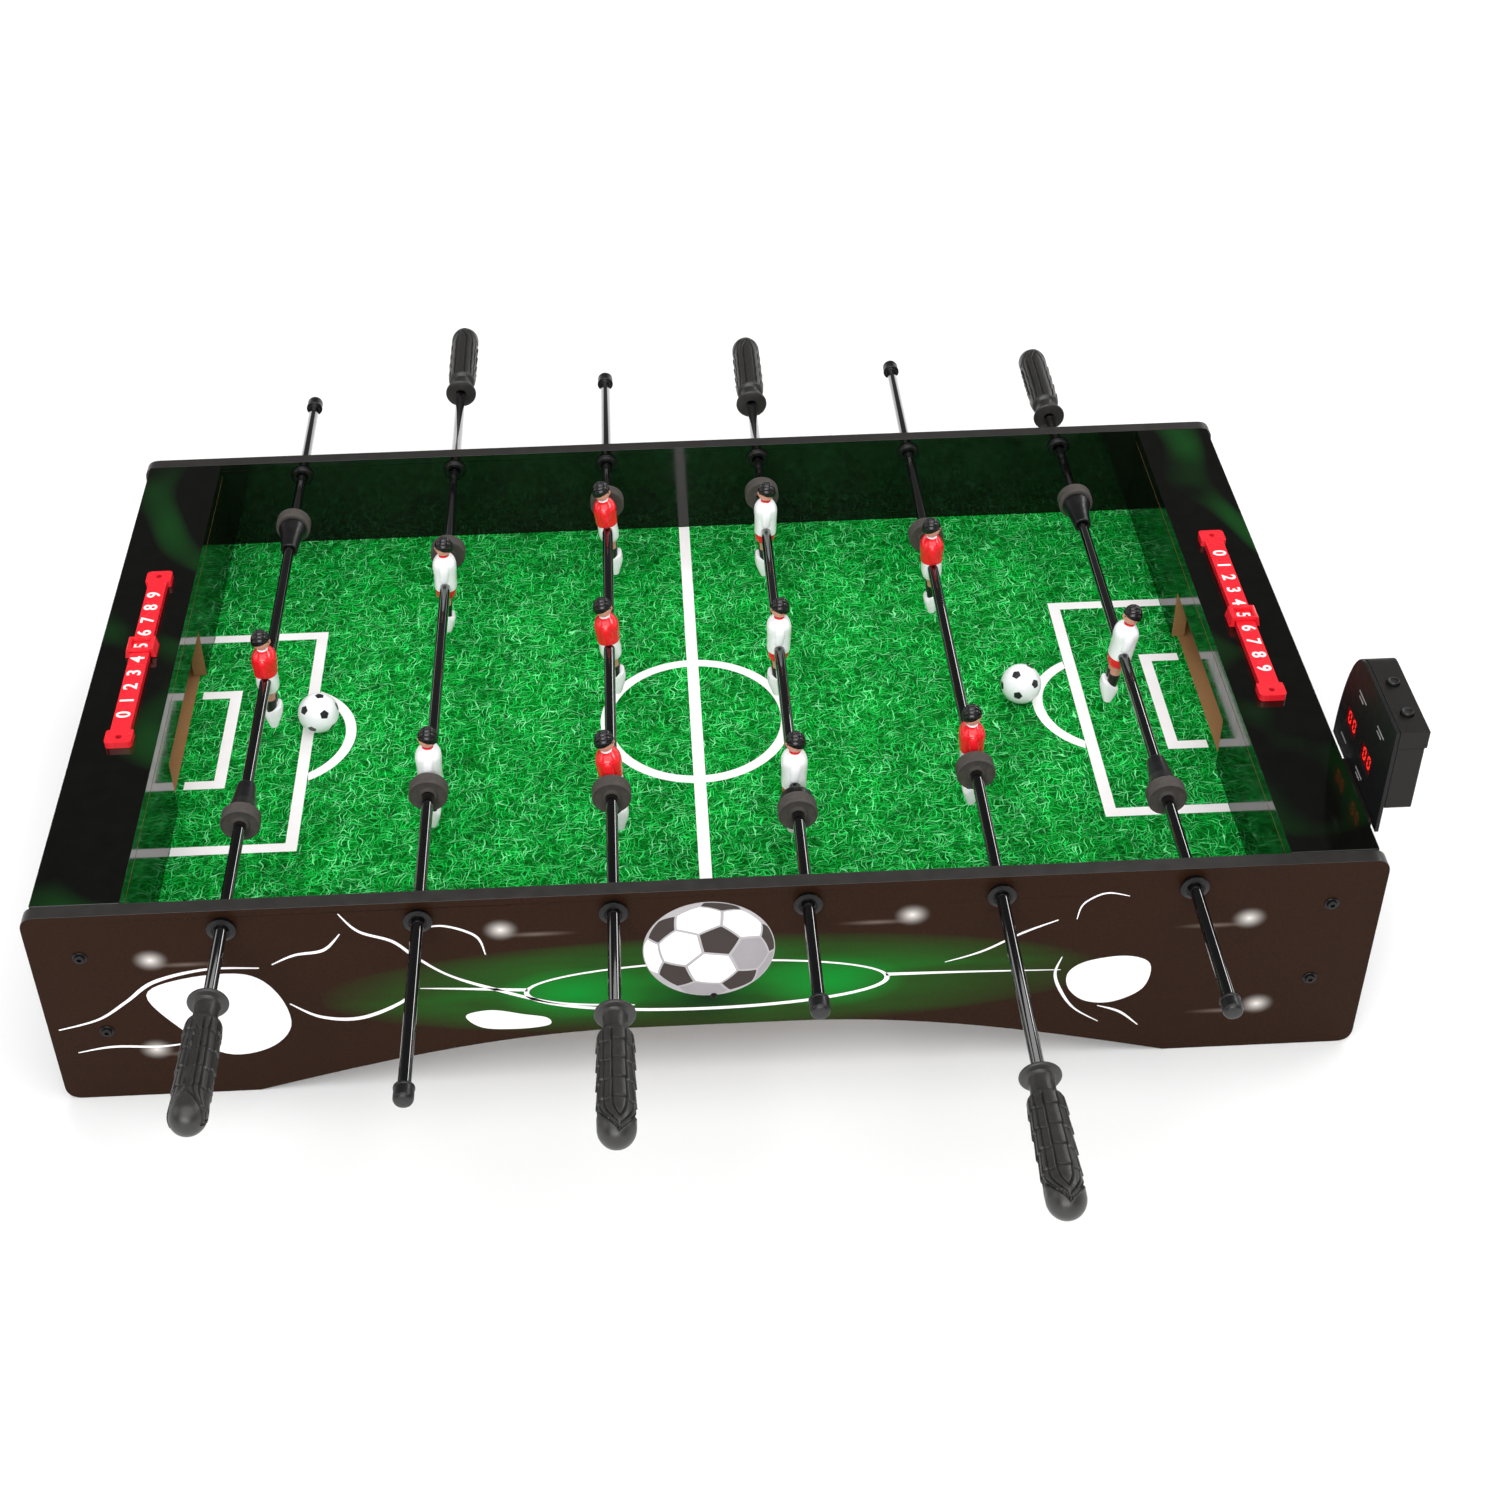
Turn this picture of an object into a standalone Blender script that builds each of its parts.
"""Tabletop foosball table with six playing rods, metres, +Z up.

The table stands on the flat feet of its two long aprons. X runs along the table, from the red
keeper's goal at -X to the white keeper's goal at +X. Y runs along the rods, from the front player
at -Y to the back player at +Y. The model's origin is at the bottom centre of its bounding box.
Every piece is placed about the table's own centre and parented to one empty that carries the
offset, because the scorer and the handles reach further on one side than on the other.
"""
import math

import bmesh
import bpy
from mathutils import Matrix, Vector

# Driving dimensions of the cabinet.
LENGTH = 1.016            # outside length of the aprons
WIDTH = 0.609             # outside width over the two aprons
HEIGHT = 0.1975           # floor to the top edge of the aprons
BOARD = 0.012             # thickness of every laminated board
CORNER = 0.013            # corner radius of the aprons
GAP = 0.0003              # clearance between pieces that touch
PITCH_Z = 0.106           # floor to the top of the pitch
PITCH_BOARD = 0.005       # thickness of the pitch board
GOAL_WALL_X = 0.4355      # centre line to the inner face of a goal wall
END_INSET = 0.006         # an end panel stands this far inside the apron's end
ARCH_HALF = 0.357         # half width of the arch under an apron
ARCH_FLAT = 0.060         # half width of the arch's level crown
ARCH_HEIGHT = 0.052
GOAL_HALF = 0.089         # half width of a goal mouth
GOAL_HEIGHT = 0.050
RETURN_HALF = 0.060       # half width of the ball return cut-out in an end panel
RETURN_HEIGHT = 0.046
PANEL_FOOT = 0.022        # floor to the lower edge of an end panel

# Rods and what they carry.
ROD_PITCH = 0.1443        # spacing of the rods along X
ROD_Z = 0.1823            # floor to the rods' axes
ROD_R = 0.00475
ROD_WALL = 0.0010
BORE_APOTHEM = ROD_R + GAP
FACETS = 12               # sides of the rods and of the holes they run in
BUSH_R = 0.0110
BUSH_PROUD = 0.0035       # how far a bushing's flange stands off the apron inside
BUSH_STAND = 0.0065       # and outside
GRIP_LENGTH = 0.118       # guard to tip
GRIP_SOCKET = 0.060       # how far a rod goes into its handle
CAP_R = 0.0077
CAP_LENGTH = 0.014
BUMPER_R = 0.0155
BUMPER_THICK = 0.012
COLLAR_LENGTH = 0.034
FOOT_REACH = 0.0520       # rod axis to the sole of a man's foot
HEAD_REACH = 0.0470

# One entry a rod, from -X to +X: the team, the side of the handle (-1 front, +1 back), the places of
# its two ends, its men's middle, their spacing and number, its two bumpers and its turn at rest.
RODS = (
    dict(team="red", side=-1, front=-0.498, back=0.425, middle=-0.010, step=0.0, men=1,
         bumpers=(-0.191, 0.210), turn=0.0),
    dict(team="white", side=1, front=-0.481, back=0.547, middle=-0.015, step=0.258, men=2,
         bumpers=(-0.166, 0.158), turn=2.0),
    dict(team="red", side=-1, front=-0.526, back=0.451, middle=0.017, step=0.174, men=3,
         bumpers=(-0.1775, 0.228), turn=-6.0),
    dict(team="white", side=1, front=-0.418, back=0.507, middle=0.006, step=0.174, men=3,
         bumpers=(-0.206, 0.232), turn=1.5),
    dict(team="red", side=-1, front=-0.600, back=0.454, middle=-0.015, step=0.258, men=2,
         bumpers=(-0.1675, 0.156), turn=-2.0),
    dict(team="white", side=1, front=-0.435, back=0.463, middle=-0.0225, step=0.0, men=1,
         bumpers=(-0.206, 0.201), turn=9.0),
)
MEN_NAMES = {1: ("keeper",), 2: ("front_man", "back_man"), 3: ("front_man", "middle_man", "back_man")}

# Loose and electronic pieces.
BALL_R = 0.0175
BALLS = {"ball_left": (-0.3263, 0.0085), "ball_right": (0.2846, 0.0090)}
RAIL_X = 0.465            # centre line of a score rail
RAIL_HALF = 0.116
RAIL_WIDE = 0.016
RAIL_PAD_WIDE = 0.022
RAIL_PAD_LONG = 0.016
RAIL_HIGH = 0.006
DIGIT_STEP = 0.018
SLIDER_DIGIT = 5          # the digit that both sliders rest on
SLIDER = Vector((0.026, 0.017, 0.0100))
SCORER_Y = (-0.268, -0.150)
SCORER_TOP = 0.290
SCORER_BACK_TOP = -0.185  # where the curved edge meets the scorer's top
SCORER_FLOOR = 0.214
SCORER_DEPTH = 0.022
BOW_STEPS = 6             # straight runs in the scorer's bowed edge
FACE_FLOOR = 0.192
FACE_THICK = 0.003
BRACKET_FLOOR = 0.120
BRACKET_TOP = 0.1965      # below the deck's top, behind the foot of the face panel
HOUSING_WALL = 0.0022
BUTTON_R = 0.0045
BUTTON_PROUD = 0.003
BUTTONS = {"scorer_power_button": -0.246, "scorer_reset_button": -0.210}

END_X = LENGTH / 2 - END_INSET
APRON_Y = WIDTH / 2
INNER_Y = APRON_Y - BOARD - GAP
DECK_UNDER = HEIGHT - BOARD
SCORER_X = END_X + GAP
HOUSING_X = SCORER_X + 2 * FACE_THICK + 2 * GAP
REACH_FRONT = min(rod["front"] for rod in RODS)
REACH_BACK = max(rod["back"] for rod in RODS)
OFFSET = Vector((-(HOUSING_X + SCORER_DEPTH - LENGTH / 2) / 2, -(REACH_FRONT + REACH_BACK) / 2, 0))

for old in list(bpy.data.objects):
    bpy.data.objects.remove(old, do_unlink=True)

PARTS = bpy.data.collections.new("foosball_table")
CUTTERS = bpy.data.collections.new("cutters")
bpy.context.scene.collection.children.link(PARTS)
bpy.context.scene.collection.children.link(CUTTERS)


def make_material(name, color, roughness, metallic=0.0):
    material = bpy.data.materials.new(name)
    material.use_nodes = True
    shader = material.node_tree.nodes["Principled BSDF"]
    shader.inputs["Base Color"].default_value = (*color, 1)
    shader.inputs["Roughness"].default_value = roughness
    shader.inputs["Metallic"].default_value = metallic
    return material


MATERIALS = {
    "apron_laminate": make_material("apron_laminate", (0.040, 0.022, 0.014), 0.45),
    "panel_laminate": make_material("panel_laminate", (0.010, 0.010, 0.010), 0.25),
    "pitch_print": make_material("pitch_print", (0.020, 0.330, 0.020), 0.35),
    "rod_enamel": make_material("rod_enamel", (0.008, 0.008, 0.008), 0.18, 0.6),
    "grip_plastic": make_material("grip_plastic", (0.016, 0.016, 0.016), 0.55),
    "bumper_rubber": make_material("bumper_rubber", (0.055, 0.052, 0.050), 0.85),
    "collar_plastic": make_material("collar_plastic", (0.010, 0.010, 0.010), 0.35),
    "red_figure": make_material("red_figure", (0.700, 0.020, 0.020), 0.30),
    "white_figure": make_material("white_figure", (0.850, 0.850, 0.850), 0.30),
    "ball_plastic": make_material("ball_plastic", (0.850, 0.850, 0.850), 0.25),
    "counter_plastic": make_material("counter_plastic", (0.750, 0.020, 0.020), 0.30),
    "scorer_plastic": make_material("scorer_plastic", (0.020, 0.020, 0.022), 0.50),
    "scorer_face": make_material("scorer_face", (0.012, 0.014, 0.014), 0.25),
}


def place(name, mesh, material, location=(0, 0, 0), rotation=(0, 0, 0), parent=None):
    """Adds a named piece; its mesh may be shared, so the material sits on the object's own slot."""
    piece = bpy.data.objects.new(name, mesh)
    PARTS.objects.link(piece)
    if not mesh.materials:
        mesh.materials.append(None)
    piece.material_slots[0].link = "OBJECT"
    piece.material_slots[0].material = MATERIALS[material]
    piece.parent = parent or TABLE
    piece.location = location
    piece.rotation_euler = rotation
    return piece


def cutter(name, mesh):
    """Adds a Boolean operand about the table's centre, which is no piece of its own."""
    tool = bpy.data.objects.new(name, mesh)
    CUTTERS.objects.link(tool)
    tool.parent = TABLE
    tool.hide_render = True
    tool.display_type = "WIRE"
    return tool


def boolean(piece, operation, tool):
    modifier = piece.modifiers.new(f"{operation}_{tool.name}", "BOOLEAN")
    modifier.operation = operation
    modifier.object = tool
    return modifier


def smooth(mesh, degrees=35):
    mesh.shade_smooth()
    mesh.set_sharp_from_angle(angle=math.radians(degrees))
    return mesh


def read_mesh(source, name):
    """The evaluated mesh of an object, with loose caps welded; the object itself is removed."""
    bpy.context.view_layer.update()
    depsgraph = bpy.context.evaluated_depsgraph_get()
    mesh = bpy.data.meshes.new_from_object(source.evaluated_get(depsgraph))
    mesh.name = name
    work = bmesh.new()
    work.from_mesh(mesh)
    bmesh.ops.remove_doubles(work, verts=work.verts, dist=1e-6)
    bmesh.ops.recalc_face_normals(work, faces=work.faces)
    work.to_mesh(mesh)
    work.free()
    bpy.data.objects.remove(source, do_unlink=True)
    return mesh


def box_mesh(name, low, high):
    low, high = Vector(low), Vector(high)
    size = high - low
    work = bmesh.new()
    bmesh.ops.create_cube(work, size=1, matrix=Matrix.Translation((low + high) / 2) @ Matrix.Diagonal((*size, 1)))
    mesh = bpy.data.meshes.new(name)
    work.to_mesh(mesh)
    work.free()
    return mesh


def cylinders_mesh(name, radius, sides, spans, axis):
    """Solid cylinders along one axis; each span is the middle of both end faces."""
    work = bmesh.new()
    for low, high in spans:
        low, high = Vector(low), Vector(high)
        turn = Vector((0, 0, 1)).rotation_difference(Vector(axis)).to_matrix().to_4x4()
        matrix = Matrix.Translation((low + high) / 2) @ turn
        bmesh.ops.create_cone(work, cap_ends=True, segments=sides, radius1=radius, radius2=radius,
                              depth=(high - low).length, matrix=matrix)
    mesh = bpy.data.meshes.new(name)
    work.to_mesh(mesh)
    work.free()
    return mesh


def plate_mesh(name, outlines, low, high, plane):
    """Flat outlines, the first with the rest as holes, extruded from low to high across a plane."""
    curve = bpy.data.curves.new(name, "CURVE")
    curve.dimensions = "2D"
    curve.fill_mode = "BOTH"
    curve.extrude = (high - low) / 2
    for outline in outlines:
        spline = curve.splines.new("POLY")
        spline.points.add(len(outline) - 1)
        for point, (u, v) in zip(spline.points, outline):
            point.co = (u, v, 0, 1)
        spline.use_cyclic_u = True
    shape = bpy.data.objects.new(name, curve)
    PARTS.objects.link(shape)
    mesh = read_mesh(shape, name)
    middle = (low + high) / 2
    columns = {
        "XY": ((1, 0, 0), (0, 1, 0), (0, 0, 1)),
        "XZ": ((1, 0, 0), (0, 0, 1), (0, -1, 0)),
        "YZ": ((0, 1, 0), (0, 0, 1), (1, 0, 0)),
    }[plane]
    frame = Matrix(columns).transposed().to_4x4()
    frame.translation = Vector(columns[2]) * (-middle if plane == "XZ" else middle)
    mesh.transform(frame)
    bpy.data.curves.remove(curve)
    return mesh


def arc(centre, radius, start, end, steps):
    """Points on a circle from one angle to another, in degrees."""
    angles = (math.radians(start + (end - start) * i / steps) for i in range(steps + 1))
    return [(centre[0] + radius * math.cos(a), centre[1] + radius * math.sin(a)) for a in angles]


def rounded_box(half_u, low_v, high_v, radius, steps=3):
    left, right = -half_u + radius, half_u - radius
    low, high = low_v + radius, high_v - radius
    return (arc((right, low), radius, -90, 0, steps) + arc((right, high), radius, 0, 90, steps)
            + arc((left, high), radius, 90, 180, steps) + arc((left, low), radius, 180, 270, steps))


def turned_mesh(name, profile, steps, closed=False):
    """A profile of (radius, height) points, top to bottom down the outside, turned about Z."""
    mesh = bpy.data.meshes.new(name + "_profile")
    points = [(radius, 0, height) for radius, height in profile]
    edges = [(i, i + 1) for i in range(len(points) - 1)]
    if closed:
        edges.append((len(points) - 1, 0))
    mesh.from_pydata(points, edges, [])
    shape = bpy.data.objects.new(name, mesh)
    PARTS.objects.link(shape)
    screw = shape.modifiers.new("turn", "SCREW")
    screw.steps = screw.render_steps = steps
    screw.use_merge_vertices = True
    screw.merge_threshold = 1e-6
    turned = read_mesh(shape, name)
    bpy.data.meshes.remove(mesh)
    return turned


def hole_radius(apothem, sides):
    """The corner radius of a faceted hole whose flats stay clear of a shaft."""
    return apothem / math.cos(math.pi / sides)


TABLE = bpy.data.objects.new("table_centre", None)
PARTS.objects.link(TABLE)
TABLE.location = OFFSET


# Cabinet.
def rod_x(index):
    return (index - (len(RODS) - 1) / 2) * ROD_PITCH


def apron_outline():
    """Rounded board with a sine arch that rises from a sharp foot to a level crown."""
    half = LENGTH / 2
    steps = 7
    side = []
    for i in range(steps + 1):
        share = i / steps
        x = ARCH_HALF + (ARCH_FLAT - ARCH_HALF) * share
        side.append((x, ARCH_HEIGHT * math.sin(share * math.pi / 2)))
    left = [(-x, z) for x, z in side]
    corners = rounded_box(half, 0, HEIGHT, CORNER, 4)
    feet_right = corners[:5]
    rest = corners[5:]
    return left + side[::-1] + feet_right + rest


def make_apron(name, side):
    outer = side * APRON_Y
    inner = side * (APRON_Y - BOARD)
    low, high = min(outer, inner), max(outer, inner)
    board = place(name, plate_mesh(name, [apron_outline()], low, high, "XZ"), "apron_laminate")
    near, far = sorted((outer + side * BUSH_STAND, inner - side * BUSH_PROUD))
    flanges = [((rod_x(i), near, ROD_Z), (rod_x(i), far, ROD_Z)) for i in range(len(RODS))]
    bores = [((rod_x(i), low - BOARD, ROD_Z), (rod_x(i), high + BOARD, ROD_Z))
             for i in range(len(RODS))]
    boolean(board, "UNION", cutter(name + "_bushings", cylinders_mesh(
        name + "_bushings", BUSH_R, 16, flanges, (0, 1, 0))))
    boolean(board, "DIFFERENCE", cutter(name + "_bores", cylinders_mesh(
        name + "_bores", hole_radius(BORE_APOTHEM, FACETS), FACETS, bores, (0, 1, 0))))
    return board


def make_end(name, side):
    """One end of the cabinet: goal wall, end panel with its ball return, and deck."""
    def between(a, b):
        return sorted((side * a, side * b))

    floor = PITCH_Z + GAP
    top = DECK_UNDER - GAP
    goal_top = PITCH_Z + GOAL_HEIGHT
    wall = [(-INNER_Y, floor), (-GOAL_HALF, floor), (-GOAL_HALF, goal_top), (GOAL_HALF, goal_top),
            (GOAL_HALF, floor), (INNER_Y, floor), (INNER_Y, top), (-INNER_Y, top)]
    place(f"{name}_goal_wall", plate_mesh(
        f"{name}_goal_wall", [wall], *between(GOAL_WALL_X, GOAL_WALL_X + BOARD), "YZ"), "panel_laminate")
    panel = [(-INNER_Y, PANEL_FOOT), (INNER_Y, PANEL_FOOT), (INNER_Y, top), (-INNER_Y, top)]
    ball_return = rounded_box(RETURN_HALF, PITCH_Z + 0.004, PITCH_Z + 0.004 + RETURN_HEIGHT, 0.012)
    place(f"{name}_end_panel", plate_mesh(
        f"{name}_end_panel", [panel, ball_return], *between(END_X - BOARD, END_X), "YZ"), "panel_laminate")
    deck_low, deck_high = between(GOAL_WALL_X, END_X)
    place(f"{name}_deck", box_mesh(
        f"{name}_deck", (deck_low, -INNER_Y, DECK_UNDER), (deck_high, INNER_Y, HEIGHT)), "panel_laminate")


make_apron("front_apron", -1)
make_apron("back_apron", 1)
make_end("left", -1)
make_end("right", 1)
PITCH_X = END_X - BOARD - GAP
place("pitch_board", box_mesh("pitch_board", (-PITCH_X, -INNER_Y, PITCH_Z - PITCH_BOARD),
                              (PITCH_X, INNER_Y, PITCH_Z)), "pitch_print")


# Score counters: a rail with screw pads and a slider that straddles it.
def make_counter(name, side):
    bar, pad = RAIL_WIDE / 2, RAIL_PAD_WIDE / 2
    neck = RAIL_HALF - RAIL_PAD_LONG
    right = [(pad, -RAIL_HALF), (pad, -neck), (bar, -neck), (bar, neck), (pad, neck), (pad, RAIL_HALF)]
    outline = right + [(-u, -v) for u, v in right]
    base = HEIGHT + GAP
    rail = place(f"{name}_score_rail", plate_mesh(
        f"{name}_score_rail", [outline], base, base + RAIL_HIGH, "XY"), "counter_plastic")
    rail.location.x = side * RAIL_X
    half = SLIDER.x / 2
    channel = bar + 2 * GAP
    low, roof, top = base + GAP, base + RAIL_HIGH + GAP, base + SLIDER.z
    section = [(-half, low), (-channel, low), (-channel, roof), (channel, roof),
               (channel, low), (half, low), (half - 0.002, top), (-half + 0.002, top)]
    slider = place(f"{name}_score_slider", plate_mesh(
        f"{name}_score_slider", [section], -SLIDER.y / 2, SLIDER.y / 2, "XZ"), "counter_plastic")
    slider.location = (side * RAIL_X, -side * (SLIDER_DIGIT - 4.5) * DIGIT_STEP, 0)


make_counter("left", -1)
make_counter("right", 1)


# Playing rods.
def figure_mesh():
    """A man that hangs on the rod's axis: torso, head, joined legs and a wedge of a foot."""
    parts = bmesh.new()
    sections = (  # height, half depth along X, half width along Y
        (HEAD_REACH - 0.0195, 0.0045, 0.0055), (0.0235, 0.0086, 0.0120), (0.0080, 0.0104, 0.0132),
        (-0.0060, 0.0092, 0.0110), (-0.0130, 0.0086, 0.0105), (-0.0190, 0.0056, 0.0085),
        (-0.0300, 0.0052, 0.0075), (-0.0380, 0.0078, 0.0088), (-0.0450, 0.0062, 0.0088),
        (-FOOT_REACH, 0.0040, 0.0078))
    sides = 8
    rings = []
    for height, deep, wide in sections:
        ring = []
        for i in range(sides):
            a = 2 * math.pi * (i + 0.5) / sides
            stretch = 1 / max(abs(math.cos(a)), abs(math.sin(a))) ** 0.6
            ring.append(parts.verts.new((deep * stretch * math.cos(a), wide * stretch * math.sin(a), height)))
        rings.append(ring)
    for upper, lower in zip(rings, rings[1:]):
        for i in range(sides):
            parts.faces.new((upper[i], lower[i], lower[(i + 1) % sides], upper[(i + 1) % sides]))
    parts.faces.new(rings[0])
    parts.faces.new(rings[-1][::-1])
    body = bpy.data.meshes.new("figure_body")
    parts.to_mesh(body)
    parts.free()
    skull = bmesh.new()
    bmesh.ops.create_uvsphere(skull, u_segments=10, v_segments=7, radius=1, matrix=Matrix.Translation(
        (0, 0, HEAD_REACH - 0.0105)) @ Matrix.Diagonal((0.0082, 0.0075, 0.0105, 1)))
    head = bpy.data.meshes.new("figure_head")
    skull.to_mesh(head)
    skull.free()
    figure = bpy.data.objects.new("figure", body)
    PARTS.objects.link(figure)
    tools = [("UNION", head), ("DIFFERENCE", cylinders_mesh(
        "figure_bore", hole_radius(BORE_APOTHEM, FACETS), FACETS, [((0, -0.03, 0), (0, 0.03, 0))], (0, 1, 0)))]
    helpers = []
    for operation, mesh in tools:
        helper = bpy.data.objects.new(mesh.name, mesh)
        CUTTERS.objects.link(helper)
        boolean(figure, operation, helper)
        helpers.append(helper)
    mesh = read_mesh(figure, "figure")
    for helper in helpers:
        bpy.data.objects.remove(helper, do_unlink=True)
    return smooth(mesh)


def grip_mesh():
    """Handle turned about Z with its guard at the top and its domed tip at -GRIP_LENGTH."""
    socket = hole_radius(BORE_APOTHEM, FACETS)
    tip = 0.0140
    profile = [(0, -GRIP_SOCKET - 2 * GAP), (socket, -GRIP_SOCKET - 2 * GAP), (socket, 0), (0.0142, 0),
               (0.0152, -0.0015), (0.0142, -0.0035), (0.0092, -0.0048), (0.0092, -0.0200), (0.0140, -0.0240)]
    dome = [(radius, height - GRIP_LENGTH + tip) for radius, height in arc((0, 0), tip, 0, -90, 4)]
    return smooth(turned_mesh("grip", profile + dome[:-1] + [(0, -GRIP_LENGTH)], FACETS), 50)


def rod_mesh(name, length):
    """Tube turned about Z: open in the handle at z = 0, with a plugged end cap at -length."""
    inner = ROD_R - ROD_WALL
    cap_top = -length + CAP_LENGTH
    plug = cap_top + 0.002
    profile = [(0, plug), (inner, plug), (inner, 0), (ROD_R, 0), (ROD_R, cap_top), (CAP_R, cap_top),
               (CAP_R, -length + 0.0015), (CAP_R - 0.0015, -length), (0, -length)]
    return smooth(turned_mesh(name, profile, FACETS))


def ring_mesh(name, top_r, bottom_r, thick, chamfer):
    """Ring about Z from z = 0 down, with a clear bore for the rod."""
    bore = hole_radius(BORE_APOTHEM, FACETS)
    profile = [(bore, 0), (top_r - chamfer, 0), (top_r, -chamfer), (bottom_r, chamfer - thick),
               (bottom_r - chamfer, -thick), (bore, -thick)]
    return smooth(turned_mesh(name, profile, FACETS, closed=True))


ALONG_Y = (math.radians(-90), 0, 0)      # turns a shape's +Z to +Y
AGAINST_Y = (math.radians(90), 0, 0)     # turns a shape's +Z to -Y

FIGURE = figure_mesh()
GRIP = grip_mesh()
BUMPER = ring_mesh("bumper", BUMPER_R, BUMPER_R, BUMPER_THICK, 0.001)
COLLAR = ring_mesh("stop_collar", 0.0075, 0.0125, COLLAR_LENGTH, 0.0008)

for index, rod in enumerate(RODS):
    number = index + 1
    axis = bpy.data.objects.new(f"rod_{number}_axis", None)
    PARTS.objects.link(axis)
    axis.parent = TABLE
    axis.location = (rod_x(index), 0, ROD_Z)
    axis.rotation_euler = (0, math.radians(rod["turn"]), 0)
    handle_end = rod["front"] if rod["side"] < 0 else rod["back"]
    cap_end = rod["back"] if rod["side"] < 0 else rod["front"]
    guard = handle_end - rod["side"] * GRIP_LENGTH
    rod_start = guard + rod["side"] * GRIP_SOCKET
    facing_cap = AGAINST_Y if rod["side"] < 0 else ALONG_Y
    facing_tip = ALONG_Y if rod["side"] < 0 else AGAINST_Y
    place(f"rod_{number}", rod_mesh(f"rod_{number}", abs(cap_end - rod_start)), "rod_enamel",
          (0, rod_start, 0), facing_cap, axis)
    place(f"handle_{number}", GRIP, "grip_plastic", (0, guard, 0), facing_tip, axis)
    for man, name in enumerate(MEN_NAMES[rod["men"]]):
        y = rod["middle"] + (man - (rod["men"] - 1) / 2) * rod["step"]
        place(f"rod_{number}_{name}", FIGURE, f"{rod['team']}_figure", (0, y, 0), (0, 0, 0), axis)
    for side, name, y in zip((-1, 1), ("front", "back"), rod["bumpers"]):
        outward = ALONG_Y if side > 0 else AGAINST_Y
        place(f"rod_{number}_{name}_bumper", BUMPER, "bumper_rubber",
              (rod_x(index), y + side * BUMPER_THICK / 2, ROD_Z), outward)
        if rod["men"] == 1:
            inward = ALONG_Y if side < 0 else AGAINST_Y
            place(f"rod_{number}_{name}_stop_collar", COLLAR, "collar_plastic",
                  (0, y - side * (BUMPER_THICK / 2 + GAP + COLLAR_LENGTH), 0), inward, axis)


# Balls.
for name, (x, y) in BALLS.items():
    sphere = bmesh.new()
    bmesh.ops.create_uvsphere(sphere, u_segments=16, v_segments=10, radius=BALL_R)
    ball = bpy.data.meshes.new(name)
    sphere.to_mesh(ball)
    sphere.free()
    place(name, smooth(ball), "ball_plastic", (x, y, PITCH_Z + BALL_R + GAP))


# Electronic scorer on the right end panel.
def scorer_outline(floor, inset=0.0):
    """Side view of the scorer: upright front edge, level top, and an edge that bows to the back."""
    front, top = SCORER_Y[0] + inset, SCORER_TOP - inset
    rise = SCORER_TOP - FACE_FLOOR
    span = SCORER_Y[1] - SCORER_BACK_TOP
    start = math.asin((floor - FACE_FLOOR) / rise)
    squeeze = (top - floor - inset) / (SCORER_TOP - floor)
    bow = []
    for i in range(BOW_STEPS + 1):
        a = start + (math.pi / 2 - start) * i / BOW_STEPS
        height = floor + inset + (FACE_FLOOR + rise * math.sin(a) - floor) * squeeze
        bow.append((SCORER_BACK_TOP + span * math.cos(a) - inset, height))
    return [(front, floor + inset)] + bow + [(front, top)]


place("scorer_bracket", box_mesh(
    "scorer_bracket", (SCORER_X, SCORER_Y[0] + 0.008, BRACKET_FLOOR),
    (SCORER_X + FACE_THICK, SCORER_BACK_TOP, BRACKET_TOP)), "scorer_plastic")
FACE_X = SCORER_X + FACE_THICK + GAP
place("scorer_face", plate_mesh(
    "scorer_face", [scorer_outline(FACE_FLOOR)], FACE_X, FACE_X + FACE_THICK, "YZ"), "scorer_face")
housing = place("scorer_housing", plate_mesh(
    "scorer_housing", [scorer_outline(SCORER_FLOOR)], HOUSING_X, HOUSING_X + SCORER_DEPTH, "YZ"), "scorer_plastic")
boolean(housing, "DIFFERENCE", cutter("scorer_hollow", plate_mesh(
    "scorer_hollow", [scorer_outline(SCORER_FLOOR, HOUSING_WALL)], HOUSING_X - 0.001,
    HOUSING_X + SCORER_DEPTH - HOUSING_WALL, "YZ")))
BUTTON_X = HOUSING_X + SCORER_DEPTH / 2
boolean(housing, "DIFFERENCE", cutter("scorer_button_holes", cylinders_mesh(
    "scorer_button_holes", BUTTON_R + 0.0006, 16,
    [((BUTTON_X, y, SCORER_TOP - 0.006), (BUTTON_X, y, SCORER_TOP + 0.006)) for y in BUTTONS.values()],
    (0, 0, 1))))
for name, y in BUTTONS.items():
    low, high = SCORER_TOP - 0.008, SCORER_TOP + BUTTON_PROUD
    place(name, smooth(turned_mesh(name, [(0, high), (BUTTON_R - 0.0008, high), (BUTTON_R, high - 0.0008),
                                          (BUTTON_R, low), (0, low)], 16)),
          "scorer_plastic", (BUTTON_X, y, 0))
